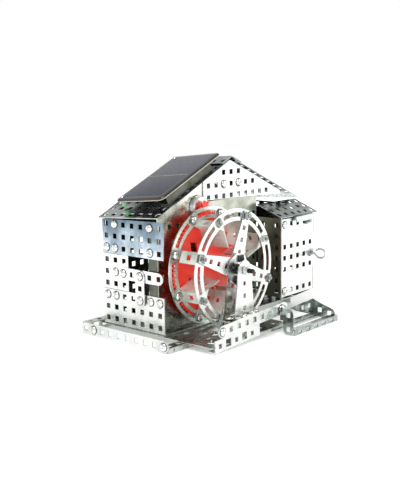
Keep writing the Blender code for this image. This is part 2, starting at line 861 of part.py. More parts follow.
def pinion():
    """Toothed wheel with its shaft in one piece: the shaft rises from the middle of its back face."""
    teeth = gear_outline(PINION_TEETH, MODULE, MESH_ANGLE + math.pi, 0.62)
    shaft = circle(0, 0, 1.1, 12)
    wide, reach = 2.0, 12.0
    bm = bmesh.new()

    def ring(points, height):
        return [bm.verts.new((u, v, height)) for u, v in points]

    def wall(lower, upper):
        for i, vert in enumerate(lower):
            j = (i + 1) % len(lower)
            bm.faces.new((vert, lower[j], upper[j], upper[i]))

    low, high = ring(teeth, 0.0), ring(teeth, wide)
    neck, tip = ring(shaft, wide), ring(shaft, reach)
    bm.faces.new(low)
    bm.faces.new(tip)
    wall(low, high)
    wall(neck, tip)
    shoulder = high + neck
    for a, b, c in tessellate_polygon([[Vector((u, v, 0)) for u, v in loop] for loop in (teeth, shaft)]):
        bm.faces.new((shoulder[a], shoulder[b], shoulder[c]))
    add_object(
        "motor_pinion",
        mesh_from(bm, "motor_pinion"),
        frame((MOTOR_X, GEAR_Y + 0.1, MOTOR_Z), (0, 0, 1), (1, 0, 0)),
        RED,
    )


# Step frame at the front right


def step_frame():
    middle = STEP_Y + EDGE + 1
    high = 17.0
    side = arc(middle, GROUND + EDGE, EDGE, -math.pi, 0.0, 6)
    side.reverse()
    arm = BEAM_Y - LAYER
    crown = arc(middle, GROUND + high, EDGE, math.pi / 2, math.pi, 3)
    outline = [*side, *crown[::-1], (arm, GROUND + high + EDGE), (arm, -1.0), (middle + EDGE, -1.0)]
    outline.reverse()
    strip_holes = [square(middle, GROUND + EDGE), square(middle, 4.3)]
    arm_low, arm_high, arm_reach = -1.0, GROUND + high + EDGE, 9.5
    folded(
        "step_left_strip",
        Matrix.Translation(Vector((STEP_LEFT, 0, 0)) * MM),
        [
            ((0, 0, 0), (0, 1, 0), (0, 0, 1), outline, strip_holes),
            ((0, arm, 0), (1, 0, 0), (0, 0, 1), rectangle(0, arm_low, arm_reach, arm_high), ()),
        ],
        toward=(1, 0, 0),
    )
    low = GROUND + 0.2
    tip = arc(-58, GROUND + EDGE, EDGE - 0.4, math.pi / 2 + 0.5, 3 * math.pi / 2, 5)
    bend = STEP_BACK_Y + 2
    cheek = [*tip, (bend - 2, low), (bend, -9.5), (bend, 3.2), (bend - 6, 0.5)]
    gusset = [(0, -9.5), (0, 3.2), (-34, 1.6), (-34, 0.4), (-26, -3.2), (-9, -8.6)]
    folded(
        "step_right_strip",
        Matrix.Translation(Vector((STEP_RIGHT, 0, 0)) * MM),
        [
            ((0, 0, 0), (0, 1, 0), (0, 0, 1), cheek, [square(-57, GROUND + EDGE), square(-47, -6)]),
            ((0, bend, 0), (1, 0, 0), (0, 0, 1), gusset, [square(-6, -2), square(-16, -2)]),
        ],
        toward=(1, 0, 0),
    )
    span = STEP_RIGHT - STEP_LEFT - LAYER - GAP
    upright = 5.2
    slots = [rounded(u - 3.4, 1.2, u + 3.4, 3.4, 1.0, 1) for u in steps_of(7.2, 5, 12)]
    folded(
        "step_front_angle",
        Matrix.Translation(Vector((STEP_LEFT + LAYER, STEP_Y, GROUND)) * MM),
        [
            ((0, 0, 0), (1, 0, 0), (0, 0, 1), rectangle(0, 0, span, upright), slots),
            ((0, 0, upright), (1, 0, 0), (0, 1, 0), rectangle(0, 0, span, 5.4), ()),
        ],
        toward=(0, 1, 0),
    )
    upright = DECK_Z - GAP - GROUND
    screw_holes = grid((26, 36, 46), (2.2,), 2.4)
    folded(
        "step_back_angle",
        Matrix.Translation(Vector((STEP_LEFT + LAYER, STEP_BACK_Y, GROUND)) * MM),
        [
            ((0, 0, 0), (1, 0, 0), (0, 0, 1), rectangle(0, 0, span, upright), screw_holes),
            ((0, 0, upright), (1, 0, 0), (0, -1, 0), rectangle(0, 0, span, 5.4), ()),
        ],
        toward=(0, -1, 0),
    )


# Solar panel


def solar_panel():
    slope = Vector((math.cos(PANEL_SLOPE), 0, math.sin(PANEL_SLOPE)))
    above = Vector((-slope.z, 0, slope.x))
    to_back = Vector((0, math.cos(PANEL_TILT), 0)) - above * math.sin(PANEL_TILT)
    place = frame(PANEL_CORNER, slope, to_back)
    margin = 3.0
    plate(
        "solar_panel_case",
        place,
        rounded(0, 0, PANEL_LONG, PANEL_WIDE, 3.0),
        finish=BLACK,
        thick=PANEL_THICK - 0.9,
    )
    plate(
        "solar_cell",
        place @ Matrix.Translation((0, 0, (PANEL_THICK - 0.6) * MM)),
        rounded(margin, margin, PANEL_LONG - margin, PANEL_WIDE - margin, 1.5, 2),
        finish=CELL,
        thick=0.6,
    )
    roof_slope = (math.cos(ROOF_TILT), 0, math.sin(ROOF_TILT))
    roof = roof_lean() @ frame((EAVE_X, 0, EAVE_Z), roof_slope, (0, 1, 0))
    lift = SHEET + GAP
    web = [(0, 0), (60, 0), (60, 7.6 - lift), (0, 9.2 - lift)]
    folded(
        "solar_mount",
        roof @ frame((20, 5, lift), (1, 0, 0), (0, 1, 0)),
        [
            ((0, 0, 0), (1, 0, 0), (0, 1, 0), rectangle(0, 0, 60, 9), grid((5, 55), (5,))),
            ((0, 0, 0), (1, 0, 0), (0, 0, 1), web, ()),
        ],
        toward=(0, 0, 1),
    )


# Loop on the wing


def loop_handle():
    wire = 1.2
    curve = bpy.data.curves.new("wire_loop", "CURVE")
    curve.dimensions = "3D"
    curve.bevel_depth = wire * MM
    curve.bevel_resolution = 2
    curve.use_fill_caps = True
    spline = curve.splines.new("POLY")
    bend = arc(0, -11.0, 4.0, math.pi, 2 * math.pi, 10)
    eye = [(0.0, 3.0), (0.0, -2.0), (-1.0, -4.0), (-4.0, -7.5), *bend, (4.0, -8.0), (1.9, -5.3)]
    spline.points.add(len(eye) - 1)
    for point, (z, y) in zip(spline.points, eye):
        point.co = (0, y * MM, z * MM, 1)
    obj = bpy.data.objects.new("loop_handle", curve)
    curve.materials.append(STEEL)
    bpy.context.scene.collection.objects.link(obj)
    obj.parent = MILL
    obj.location = Vector((WING_LEFT + 45.8, WING_Y - 1.5, 40)) * MM


def centre_on_origin():
    """Moves the carrier so that the origin lies under the middle of the whole model's box."""
    bpy.context.view_layer.update()
    graph = bpy.context.evaluated_depsgraph_get()
    points = []
    for obj in bpy.data.objects:
        if obj.type in ("MESH", "CURVE"):
            solid = obj.evaluated_get(graph)
            shape = solid.to_mesh()
            points += [solid.matrix_world @ vert.co for vert in shape.vertices]
            solid.to_mesh_clear()
    low = [min(point[i] for point in points) for i in range(3)]
    high = [max(point[i] for point in points) for i in range(3)]
    MILL.location = (-(low[0] + high[0]) / 2, -(low[1] + high[1]) / 2, -low[2])


clear_scene()
STEEL = material("zinc_steel", (0.78, 0.79, 0.78), 0.28, 1.0)
DARK_STEEL = material("shaded_zinc_steel", (0.55, 0.6, 0.66), 0.3, 1.0)
BLACK_STEEL = material("blackened_steel", (0.06, 0.06, 0.06), 0.35, 1.0)
RED = material("red_plastic", (0.8, 0.03, 0.01), 0.35, 0.0)
BLACK = material("black_plastic", (0.02, 0.02, 0.025), 0.3, 0.0)
CELL = material("solar_cell", (0.07, 0.07, 0.12), 0.15, 0.3)
MILL = bpy.data.objects.new("mill", None)
bpy.context.scene.collection.objects.link(MILL)

left_wall()
facade()
gables()
back_and_right_walls()
corner_angles()
roof()
wing()
base()
tray()
deck()
wheel()
motor()
pinion()
step_frame()
solar_panel()
loop_handle()
centre_on_origin()
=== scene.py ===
"""Looks of the solar water mill: plated steel, fastenings, solar panel and a white studio."""

import math

import bmesh
import bpy
from mathutils import Matrix, Vector


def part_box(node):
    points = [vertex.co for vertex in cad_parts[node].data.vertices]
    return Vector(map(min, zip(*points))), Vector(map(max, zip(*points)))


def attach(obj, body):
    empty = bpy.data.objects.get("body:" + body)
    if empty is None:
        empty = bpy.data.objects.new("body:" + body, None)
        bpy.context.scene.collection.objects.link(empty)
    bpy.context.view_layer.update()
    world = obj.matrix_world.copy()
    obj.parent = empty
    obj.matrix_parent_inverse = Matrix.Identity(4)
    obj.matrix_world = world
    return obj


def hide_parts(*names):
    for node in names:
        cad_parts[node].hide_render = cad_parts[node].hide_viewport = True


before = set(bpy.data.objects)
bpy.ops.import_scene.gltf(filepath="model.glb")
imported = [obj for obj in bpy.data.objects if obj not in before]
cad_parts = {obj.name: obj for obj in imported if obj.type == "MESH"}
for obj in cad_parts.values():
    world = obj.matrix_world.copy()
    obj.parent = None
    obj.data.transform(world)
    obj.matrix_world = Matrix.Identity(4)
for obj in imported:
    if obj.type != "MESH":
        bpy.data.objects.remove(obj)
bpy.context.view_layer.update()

MM = 0.001
PITCH = 10.0
WALL_LOW = -5.0
CORNER = Vector(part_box("left_wall_lower_plate")[0]) - Vector((0, 0, WALL_LOW * MM))

BAR_X = -1.1
POST_X = -2.2
GABLE_Y = 5.9
FACADE_Y = 7.0
WING_Y = -20.0
TRAY_X = -18.0
BEAM_Y = -50.8
DECK_TOP = -7.1
SHELF_TOP = 7.8
WHEEL = (51.0, 45.0)
RIM_BOLTS = 44.0
FIRST_PADDLE = 26.5
FRONT_RIM_Y = -30.8
REAR_TAB_Y = -4.9
HUB_Y = -34.1
STRIP_STEP = 2.2
HUB_BOLTS = 9.0


def at(x, y, z):
    return CORNER + Vector((x, y, z)) * MM


# Materials


class Tree:
    """A new material's node tree with its Principled shader."""

    def __init__(self, name):
        self.material = bpy.data.materials.new(name)
        self.material.use_nodes = True
        self.tree = self.material.node_tree
        self.shader = self.tree.nodes["Principled BSDF"]
        self.place = self.node("ShaderNodeTexCoord").outputs["Object"]

    def node(self, kind, **values):
        made = self.tree.nodes.new(kind)
        for key, value in values.items():
            setattr(made, key, value)
        return made

    def link(self, source, target):
        self.tree.links.new(source, target)

    def scaled(self, scale):
        mapping = self.node("ShaderNodeMapping")
        mapping.inputs["Scale"].default_value = scale
        self.link(self.place, mapping.inputs["Vector"])
        return mapping.outputs["Vector"]

    def noise(self, scale, detail=3.0, roughness=0.55, stretch=None):
        made = self.node("ShaderNodeTexNoise")
        made.inputs["Scale"].default_value = scale
        made.inputs["Detail"].default_value = detail
        made.inputs["Roughness"].default_value = roughness
        self.link(self.scaled(stretch) if stretch else self.place, made.inputs["Vector"])
        return made.outputs["Fac"]

    def ramp(self, factor, stops):
        made = self.node("ShaderNodeValToRGB")
        band = made.color_ramp
        while len(band.elements) < len(stops):
            band.elements.new(0.5)
        for element, (position, colour) in zip(band.elements, stops):
            element.position = position
            element.color = (*colour, 1.0)
        self.link(factor, made.inputs["Fac"])
        return made.outputs["Color"]

    def mix(self, factor, first, second, blend="MIX"):
        made = self.node("ShaderNodeMix", data_type="RGBA", blend_type=blend)
        if isinstance(factor, float):
            made.inputs["Factor"].default_value = factor
        else:
            self.link(factor, made.inputs["Factor"])
        for source, socket in ((first, "A"), (second, "B")):
            target = next(s for s in made.inputs if s.name == socket and s.type == "RGBA")
            if isinstance(source, tuple):
                target.default_value = (*source, 1.0)
            else:
                self.link(source, target)
        return next(s for s in made.outputs if s.type == "RGBA")

    def span(self, value, low, high, start=0.0, end=1.0):
        made = self.node("ShaderNodeMapRange")
        for key, number in (("From Min", low), ("From Max", high), ("To Min", start), ("To Max", end)):
            made.inputs[key].default_value = number
        self.link(value, made.inputs["Value"])
        return made.outputs["Result"]

    def along(self, axis):
        made = self.node("ShaderNodeSeparateXYZ")
        self.link(self.place, made.inputs["Vector"])
        return made.outputs[axis]

    def bump(self, height, strength, distance):
        made = self.node("ShaderNodeBump")
        made.inputs["Strength"].default_value = strength
        made.inputs["Distance"].default_value = distance
        self.link(height, made.inputs["Height"])
        self.link(made.outputs["Normal"], self.shader.inputs["Normal"])


EDGE_WIDTH = 0.45 * MM
# Painted shade: colour laid along plate edges and hole borders
EDGE_SHADE = (0.2, 0.21, 0.2)
PLATING_TINTS = [(0.35, (0.94, 0.97, 1.0)), (0.5, (1.0, 1.0, 1.0)), (0.66, (0.97, 1.0, 0.93))]


def steel(name, light, dark, smoothness=(0.2, 0.38), clouds=70.0, bands=None, inner_shade=None):
    """Zinc-plated sheet: cloudy plating, scratches, painted shade along edges and hole borders and a slight
    orange-peel surface.
    """
    made = Tree(name)
    cloud = made.noise(clouds, 4.0, 0.6)
    colour = made.ramp(cloud, [(0.36, dark), (0.62, light)])
    tint = made.noise(28.0, 2.0)
    colour = made.mix(
        0.5,
        colour,
        made.ramp(tint, PLATING_TINTS),
        "MULTIPLY",
    )
    # Painted light and shade: the colour is multiplied by a ramp along one axis, lighter or darker by place
    if bands:
        axis, start, end, stops = bands
        low, high = (at(edge, edge, edge)["XYZ".index(axis)] for edge in (start, end))
        place = made.span(made.along(axis), low, high)
        colour = made.mix(1.0, colour, made.ramp(place, stops), "MULTIPLY")
    # Painted shade: faces turned against the given axis, the inward faces of the walls, take the shade
    # colour
    if inner_shade:
        axis, deep = inner_shade
        side = made.node("ShaderNodeSeparateXYZ")
        made.link(made.node("ShaderNodeTexCoord").outputs["Normal"], side.inputs["Vector"])
        colour = made.mix(made.span(side.outputs[axis], 0.5, -0.5), colour, deep)
    # Painted shade: darkens the colour where the bevel normal bends away from the face, along edges and hole
    # borders
    round_edge = made.node("ShaderNodeBevel", samples=4)
    round_edge.inputs["Radius"].default_value = EDGE_WIDTH
    bent = made.node("ShaderNodeVectorMath", operation="DOT_PRODUCT")
    made.link(round_edge.outputs["Normal"], bent.inputs[0])
    made.link(made.node("ShaderNodeNewGeometry").outputs["True Normal"], bent.inputs[1])
    colour = made.mix(made.span(bent.outputs["Value"], 0.98, 0.8, 0.0, 0.75), colour, EDGE_SHADE)
    made.link(colour, made.shader.inputs["Base Color"])
    made.shader.inputs["Metallic"].default_value = 1.0
    scratch = made.noise(1.0, 2.0, 0.5, stretch=(160.0, 160.0, 3200.0))
    rough = made.node("ShaderNodeMath", operation="ADD")
    made.link(made.span(cloud, 0.3, 0.7, *smoothness), rough.inputs[0])
    made.link(made.span(scratch, 0.35, 0.65, -0.04, 0.06), rough.inputs[1])
    made.link(rough.outputs[0], made.shader.inputs["Roughness"])
    made.bump(made.noise(420.0, 3.0), 0.12, 0.0004)
    return made.material


def plastic(name, colour, shade, roughness, coat=0.3):
    """Moulded plastic: faint flow marks, matt and glossy patches, fine grain."""
    made = Tree(name)
    flow = made.noise(55.0, 3.0)
    made.link(made.ramp(flow, [(0.35, shade), (0.62, colour)]), made.shader.inputs["Base Color"])
    made.link(made.span(made.noise(240.0), 0.3, 0.7, *roughness), made.shader.inputs["Roughness"])
    made.shader.inputs["Coat Weight"].default_value = coat
    made.shader.inputs["Coat Roughness"].default_value = 0.12
    made.bump(made.noise(900.0, 2.0), 0.1, 0.0002)
    return made.material


# Painted shade colour for the inward faces of the back and right walls
SHADE = (0.1, 0.105, 0.085)
BRIGHT = steel("plating_bright", (0.86, 0.87, 0.85), (0.64, 0.66, 0.64))
PALE = steel("plating_pale", (0.78, 0.8, 0.79), (0.5, 0.54, 0.53), (0.16, 0.3), inner_shade=("Y", SHADE))
OUTER = steel("plating_outer", (0.78, 0.8, 0.79), (0.5, 0.54, 0.53), (0.16, 0.3), inner_shade=("X", SHADE))
ROOF = steel("plating_roof", (0.62, 0.66, 0.65), (0.34, 0.38, 0.38), (0.1, 0.22))
# Painted shadow and reflection of the solar panel on the left roof: light at the eave, near black under the
# panel, light again near the ridge
PANEL_SHADOW = [(0.0, (1, 1, 1)), (0.16, (0.9, 0.9, 0.9)), (0.27, (0.07, 0.07, 0.08))]
PANEL_SHADOW += [(0.82, (0.09, 0.09, 0.1)), (0.95, (0.8, 0.8, 0.8))]
ROOF_LEFT = steel(
    "plating_roof_left",
    (0.7, 0.73, 0.72),
    (0.42, 0.46, 0.46),
    (0.1, 0.22),
    bands=("X", -4.3, 91.0, PANEL_SHADOW),
)
DUSK = [(0.0, (1.0, 1.0, 1.0)), (0.45, (0.8, 0.84, 0.88)), (1.0, (0.35, 0.42, 0.47))]
SHADED = steel(
    "plating_shaded", (0.6, 0.66, 0.7), (0.22, 0.27, 0.31), (0.12, 0.26), 45.0, ("Z", 55, 84, DUSK)
)
# Painted shade and painted light: the facade and wing side are darkened below the eave, where the wheel
# shades them, and lightened near the eave
FACADE_SHADE_EAVE_LIGHT = [(0.0, (0.52, 0.52, 0.5)), (0.62, (0.52, 0.53, 0.5)), (0.85, (1.0, 1.0, 1.0))]
# Painted shade: darker greenish base colour for the left facade, which lies in the wheel's shade
MIRROR_SHADED = steel(
    "plating_mirror_shaded", (0.78, 0.8, 0.72), (0.5, 0.52, 0.44), (0.18, 0.3), bands=("Z", 0, 96, FACADE_SHADE_EAVE_LIGHT)
)
# Painted shade: dark olive base colour for the shaded right facade and wing side
OLIVE_SHADED = steel(
    "plating_olive_shaded", (0.6, 0.62, 0.53), (0.32, 0.34, 0.28), (0.3, 0.42), bands=("Z", 0, 96, FACADE_SHADE_EAVE_LIGHT)
)
# Painted shade: near-black steel for parts seen only in shade: the mount under the solar panel, the corner
# angles inside the house and the rings under screw heads
PAINTED_SHADE = steel("plating_painted_shade", (0.14, 0.145, 0.12), (0.07, 0.075, 0.06), (0.25, 0.4))
DECK = steel("plating_deck", (0.7, 0.73, 0.68), (0.42, 0.45, 0.41), (0.2, 0.34))
STEP = steel("plating_step", (0.5, 0.54, 0.52), (0.22, 0.26, 0.24), (0.12, 0.26), 120.0)
WHEEL_STEEL = steel("plating_wheel", (0.84, 0.86, 0.83), (0.56, 0.6, 0.56), (0.2, 0.34))
BLADE = steel("plating_blade", (0.8, 0.83, 0.78), (0.5, 0.54, 0.48), (0.4, 0.55))
BLADE.node_tree.nodes["Principled BSDF"].inputs["Metallic"].default_value = 0.7
# Painted shade: a darker copy of the plating for the nuts, standing in for the dark they reflect
NUT_SHADED_STEEL = steel("plating_nut_shaded", (0.5, 0.51, 0.5), (0.2, 0.21, 0.2), (0.16, 0.3), 300.0)
SCREW_STEEL = steel("plating_screw", (0.95, 0.95, 0.94), (0.74, 0.75, 0.74), (0.12, 0.24), 300.0)
BLACKED = steel("black_oxide", (0.06, 0.06, 0.06), (0.02, 0.02, 0.02), (0.25, 0.45), 300.0)
RED = plastic("red_plastic", (1.0, 0.045, 0.02), (0.9, 0.03, 0.012), (0.3, 0.45))
# Painted glow: the red plastic gives off a little light of its own, though it is no lamp
RED.node_tree.nodes["Principled BSDF"].inputs["Emission Color"].default_value = (1.0, 0.04, 0.015, 1.0)
RED.node_tree.nodes["Principled BSDF"].inputs["Emission Strength"].default_value = 0.08
GREEN = plastic("green_spacer", (0.35, 0.78, 0.4), (0.2, 0.62, 0.28), (0.3, 0.45))
CREAM = plastic("cream_board", (0.75, 0.68, 0.5), (0.6, 0.53, 0.36), (0.4, 0.6), 0.0)
RESIN = plastic("black_resin", (0.018, 0.018, 0.022), (0.01, 0.01, 0.012), (0.12, 0.2), 0.8)


def paint(material, *names):
    for name in names:
        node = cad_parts[name]
        node.data.materials.clear()
        node.data.materials.append(material)


paint(BRIGHT, *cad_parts)
paint(SHADED, "left_wall_upper_plate")
paint(PALE, "back_wall_plate", "gable_back_plate")
paint(OUTER, "right_wall_plate")
paint(ROOF, "roof_right_plate", "ridge_cap", "porch_roof_plate", "porch_bracket")
paint(ROOF_LEFT, "roof_left_plate")
paint(MIRROR_SHADED, "facade_left_plate")
paint(OLIVE_SHADED, "facade_right_plate", "wing_side_plate")
# Painted shade on the solar panel mount and the inner corner angles
paint(PAINTED_SHADE, "solar_mount", *(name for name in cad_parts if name.startswith("corner_angle")))
paint(DECK, "deck_plate", "base_plate", "base_right_rail", "bearing_shelf", "tray_back_angle")
paint(DECK, "tray_front_angle")
paint(STEP, *(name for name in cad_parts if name.startswith("step_")))
paint(BLADE, *(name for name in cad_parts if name.startswith("wheel_paddle")))
paint(WHEEL_STEEL, "wheel_front_rim", "wheel_rear_rim", "wheel_cross_strip_a", "wheel_cross_strip_b")
paint(RED, "wheel_gear", "motor_pinion")
paint(BLACKED, "wheel_collar", "wheel_axle")


# Mesh helpers


def finished(bm, name, material, body, angle=40.0):
    """Turns a bmesh in world metres into a piece that rides a body."""
    bmesh.ops.recalc_face_normals(bm, faces=bm.faces)
    mesh = bpy.data.meshes.new(name)
    bm.to_mesh(mesh)
    bm.free()
    mesh.materials.append(material)
    mesh.shade_smooth()
    mesh.set_sharp_from_angle(angle=math.radians(angle))
    piece = bpy.data.objects.new(name, mesh)
    bpy.context.scene.collection.objects.link(piece)
    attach(piece, body)
    return piece


def lathe(bm, profile, segments):
    """Closed body from rings of (radius, height) about Z, in metres."""
    rings = []
    for radius, height in profile:
        turn = [2 * math.pi * i / segments for i in range(segments)]
        ring = [bm.verts.new((radius * math.cos(a), radius * math.sin(a), height)) for a in turn]
        rings.append(ring)
    for lower, upper in zip(rings, rings[1:]):
        for i in range(segments):
            j = (i + 1) % segments
            bm.faces.new((lower[i], lower[j], upper[j], upper[i]))
    bm.faces.new(list(reversed(rings[0])))
    bm.faces.new(rings[-1])


def template(build):
    """Mesh of one fastening about the origin, pointing along +Z, built by a function of a bmesh."""
    bm = bmesh.new()
    build(bm)
    bmesh.ops.recalc_face_normals(bm, faces=bm.faces)
    mesh = bpy.data.meshes.new("template")
    bm.to_mesh(mesh)
    bm.free()
    return mesh


def slotted(mesh, wide, deep, high):
    """The mesh with a screwdriver slot cut across its top."""
    head = bpy.data.objects.new("head", mesh)
    bm = bmesh.new()
    bmesh.ops.create_cube(bm, size=1.0)
    size = Matrix.Diagonal((20 * MM, wide, 2 * deep, 1.0))
    bmesh.ops.transform(bm, matrix=Matrix.Translation((0, 0, high)) @ size, verts=bm.verts)
    cutter_mesh = bpy.data.meshes.new("slot")
    bm.to_mesh(cutter_mesh)
    bm.free()
    cutter = bpy.data.objects.new("slot", cutter_mesh)
    for obj in (head, cutter):
        bpy.context.scene.collection.objects.link(obj)
    cut = head.modifiers.new("slot", "BOOLEAN")
    cut.operation = "DIFFERENCE"
    cut.solver = "EXACT"
    cut.object = cutter
    bpy.context.view_layer.update()
    graph = bpy.context.evaluated_depsgraph_get()
    result = bpy.data.meshes.new_from_object(head.evaluated_get(graph))
    for obj in (head, cutter):
        bpy.data.objects.remove(obj, do_unlink=True)
    return result


def copies(mesh, places):
    """A bmesh with a copy of the mesh at each place."""
    bm = bmesh.new()
    for place in places:
        first = len(bm.verts)
        bm.from_mesh(mesh)
        bm.verts.ensure_lookup_table()
        bmesh.ops.transform(bm, matrix=place, verts=bm.verts[first:])
    return bm


def facing(point, direction, spin=0.0):
    """Place with +Z along direction at a world point, turned about it by spin degrees."""
    axis = Vector(direction).normalized()
    turn = axis.to_track_quat("Z", "Y").to_matrix().to_4x4()
    return Matrix.Translation(point) @ turn @ Matrix.Rotation(math.radians(spin), 4, "Z")


HEAD_R, HEAD_H, HEAD_RIM = 3.3 * MM, 2.1 * MM, 0.35 * MM
SLOT_WIDE, SLOT_DEEP = 1.1 * MM, 1.2 * MM
NUT_HALF, NUT_THICK, NUT_CHAMFER = 2.75 * MM, 2.0 * MM, 0.45 * MM
SHANK_R, SHANK_PROUD = 1.5 * MM, 1.6 * MM
# Thin dark ring under each screw head: a painted shadow outline
SHADOW_RING_PROFILE = ((3.7, 0), (3.85, 0.06), (3.85, 0.2), (3.7, 0.26))


def millimetres(profile):
    return [(radius * MM, height * MM) for radius, height in profile]


def head_shape(bm):
    dome = [(HEAD_R, 0.0), (HEAD_R, HEAD_RIM)]
    for step in range(1, 6):
        turn = math.pi / 2 * step / 6
        dome.append((HEAD_R * math.cos(turn), HEAD_RIM + (HEAD_H - HEAD_RIM) * math.sin(turn)))
    lathe(bm, [*dome, (0.3 * MM, HEAD_H)], 20)


def thread(bottom, top, radius, pitch=0.7 * MM):
    """Zigzag profile of a threaded shank."""
    points = []
    turns = max(2, round((top - bottom) / pitch))
    for i in range(turns):
        points.append((radius, bottom + (top - bottom) * (i + 0.25) / turns))
        points.append((radius * 0.86, bottom + (top - bottom) * (i + 0.75) / turns))
    return [(radius * 0.9, bottom), *points, (radius * 0.7, top)]


def nut_shape(bm):
    """Square nut with a chamfered top, and the screw's end standing out of it."""
    levels = []
    outline = ((NUT_HALF, 0), (NUT_HALF, NUT_THICK - NUT_CHAMFER), (NUT_HALF - NUT_CHAMFER, NUT_THICK))
    for reach, height in outline:
        corners = ((1, 1), (-1, 1), (-1, -1), (1, -1))
        levels.append([bm.verts.new((u * reach, v * reach, height)) for u, v in corners])
    for lower, upper in zip(levels, levels[1:]):
        for i in range(4):
            j = (i + 1) % 4
            bm.faces.new((lower[i], lower[j], upper[j], upper[i]))
    bm.faces.new(levels[-1])
    bm.faces.new(list(reversed(levels[0])))
    lathe(bm, thread(NUT_THICK * 0.5, NUT_THICK + SHANK_PROUD, SHANK_R), 10)


def shadow_ring_shape(bm):
    lathe(bm, millimetres(SHADOW_RING_PROFILE), 20)


SCREW = slotted(template(head_shape), SLOT_WIDE, SLOT_DEEP, HEAD_H)
NUT = template(nut_shape)
SHADOW_RING = template(shadow_ring_shape)


def fasten(name, body, mesh, material, spots):
    """One piece from many fastenings; spots are (point, direction, spin)."""
    places = [facing(*spot) for spot in spots]
    return finished(copies(mesh, places), name, material, body)


# Screws and nuts of the house

LEFT, FRONT, UP, BACK = (-1, 0, 0), (0, -1, 0), (0, 0, 1), (0, 1, 0)


def wall_row(row):
    """Height of the left wall's rows of holes, counted from the top."""
    return 80.0 - PITCH * (row - 1)


def wall_column(column):
    """Depth of the left wall's columns of holes, counted from the back."""
    return 65.0 - PITCH * (column - 1)


wall_screws = [(2, 1), (6, 1), (1, 3), (2, 3), (6, 3), (1, 7), (2, 7), (6, 7), (7, 7)]
heads = [(at(0, wall_column(c), wall_row(r)), LEFT, 20 + 37 * i) for i, (c, r) in enumerate(wall_screws)]
heads += [(at(0, wall_column(2), wall_row(5)), LEFT, 15), (at(BAR_X, wall_column(3), wall_row(5)), LEFT, 70)]
heads += [(at(POST_X, wall_column(5), wall_row(row)), LEFT, spin) for row, spin in ((5, 100), (7, 5))]
heads += [(at(x, GABLE_Y, 109), FRONT, 40 * i) for i, x in enumerate((82, 102))]
heads += [(at(135, WING_Y, z), FRONT, 25 + z) for z in (10, 70)]
heads += [(at(TRAY_X, y, -7.7), LEFT, 30 + y) for y in (64.5, -15.5)]
heads += [(at(x, BEAM_Y, 4.0 + 0.049 * (x - 11.2)), FRONT, 60 + x) for x in (11.2, 87.7)]
heads += [(at(WHEEL[0] + x, -45.4, 8.9), UP, 33 * x) for x in (-6, 6)]
heads += [(at(x, -38, SHELF_TOP), UP, 50 + x) for x in (35, 67)]
fasten("house_screws", "house", SCREW, SCREW_STEEL, heads)
# Painted shadow: a dark ring under each screw head of the house
fasten("house_shadow_rings", "house", SHADOW_RING, PAINTED_SHADE, heads)

nuts = [(at(x, y, DECK_TOP), UP, 20 + x) for x, y in ((9, -41), (29, -27), (81, -6), (94, -14))]
nuts += [(at(170, WING_Y, 70), FRONT, 10), (at(175, WING_Y, 40), FRONT, 20)]
fasten("house_nuts", "house", NUT, NUT_SHADED_STEEL, nuts)

# Fastenings of the wheel

wheel_heads, wheel_nuts, hub_nuts = [], [], []
for k in range(8):
    turn = math.radians(FIRST_PADDLE + 45 * k)
    x = WHEEL[0] + RIM_BOLTS * math.cos(turn)
    z = WHEEL[1] + RIM_BOLTS * math.sin(turn)
    on_strip = k % 2 == 1
    wheel_heads.append((at(x, REAR_TAB_Y, z), FRONT, 31 * k))
    wheel_nuts.append((at(x, FRONT_RIM_Y - (STRIP_STEP if on_strip else 0.0), z), FRONT, 17 * k))
for k in range(4):
    turn = math.radians(FIRST_PADDLE + 45 + 90 * k)
    x = WHEEL[0] + HUB_BOLTS * math.cos(turn)
    z = WHEEL[1] + HUB_BOLTS * math.sin(turn)
    hub_nuts.append((at(x, HUB_Y, z), FRONT, 23 * k))
fasten("hub_nuts", "water_wheel", NUT, BLACKED, hub_nuts)
fasten("wheel_screws", "water_wheel", SCREW, SCREW_STEEL, wheel_heads)
# Painted shadow: a dark ring under each screw head of the wheel
fasten("wheel_shadow_rings", "water_wheel", SHADOW_RING, PAINTED_SHADE, wheel_heads)
fasten("wheel_nuts", "water_wheel", NUT, NUT_SHADED_STEEL, wheel_nuts)

# Solar panel: cast resin dome over the cells, board edge, busbar, spacers

PANEL_LONG, PANEL_WIDE = 80.0, 56.0
PANEL_CORNER = (1.4, 1.5, 102.4)
SLOPE = math.radians(23.8)
TILT = math.radians(6.0)
along_slope = Vector((math.cos(SLOPE), 0, math.sin(SLOPE)))
above = Vector((-along_slope.z, 0, along_slope.x))
to_back = Vector((0, math.cos(TILT), 0)) - above * math.sin(TILT)
outwards = along_slope.cross(to_back)
PANEL = Matrix((along_slope, to_back, outwards)).transposed().to_4x4()
PANEL = Matrix.Translation(at(*PANEL_CORNER)) @ PANEL


def rounded_ring(bm, inset, radius, height, steps=5):
    """Loop of a rounded rectangle inset from the panel's edge, in the panel's own frame."""
    radius = max(radius - inset, 0.4)
    low_u, low_v = inset + radius, inset + radius
    high_u, high_v = PANEL_LONG - inset - radius, PANEL_WIDE - inset - radius
    corners = ((high_u, high_v, 0), (low_u, high_v, 90), (low_u, low_v, 180), (high_u, low_v, 270))
    loop = []
    for u, v, start in corners:
        for i in range(steps + 1):
            turn = math.radians(start + 90 * i / steps)
            point = Vector((u + radius * math.cos(turn), v + radius * math.sin(turn), height)) * MM
            loop.append(bm.verts.new(PANEL @ point))
    return loop


